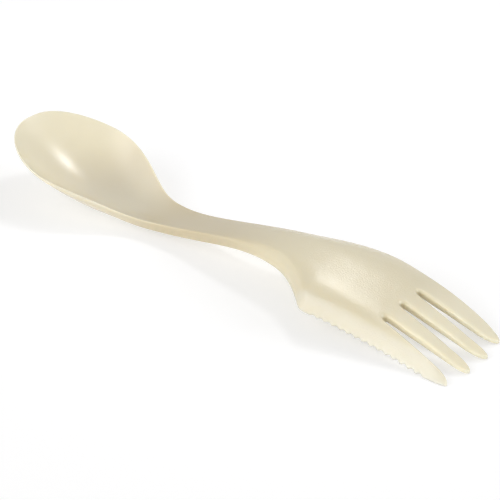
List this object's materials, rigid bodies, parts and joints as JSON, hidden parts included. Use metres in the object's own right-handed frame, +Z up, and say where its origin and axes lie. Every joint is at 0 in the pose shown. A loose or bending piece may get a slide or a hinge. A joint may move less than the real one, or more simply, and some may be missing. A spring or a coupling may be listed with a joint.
{
  "type": "spork",
  "caption": "Double-ended eating utensil in one ivory moulding: a deep egg-shaped spoon bowl, a waisted handle and a domed fork head with a serrated cutting edge along one side.",
  "frame": {"origin": "middle of the footprint, on the table the spork lies on", "axes": "+X along the spork from the spoon's rim to the points of the tines, +Y away from the serrated blade, +Z up out of the spoon bowl"},
  "size_m": [0.17, 0.0374, 0.02],
  "materials": {
    "moulding": "fine matte texture, slightly translucent"
  },
  "bodies": {
    "root": {"spoon_bowl": "moulding", "handle": "moulding", "fork_head": "moulding", "serrated_blade": "moulding", "knife_tine": "moulding", "inner_tine_near": "moulding", "inner_tine_far": "moulding", "outer_tine": "moulding"}
  },
  "joints": []
}
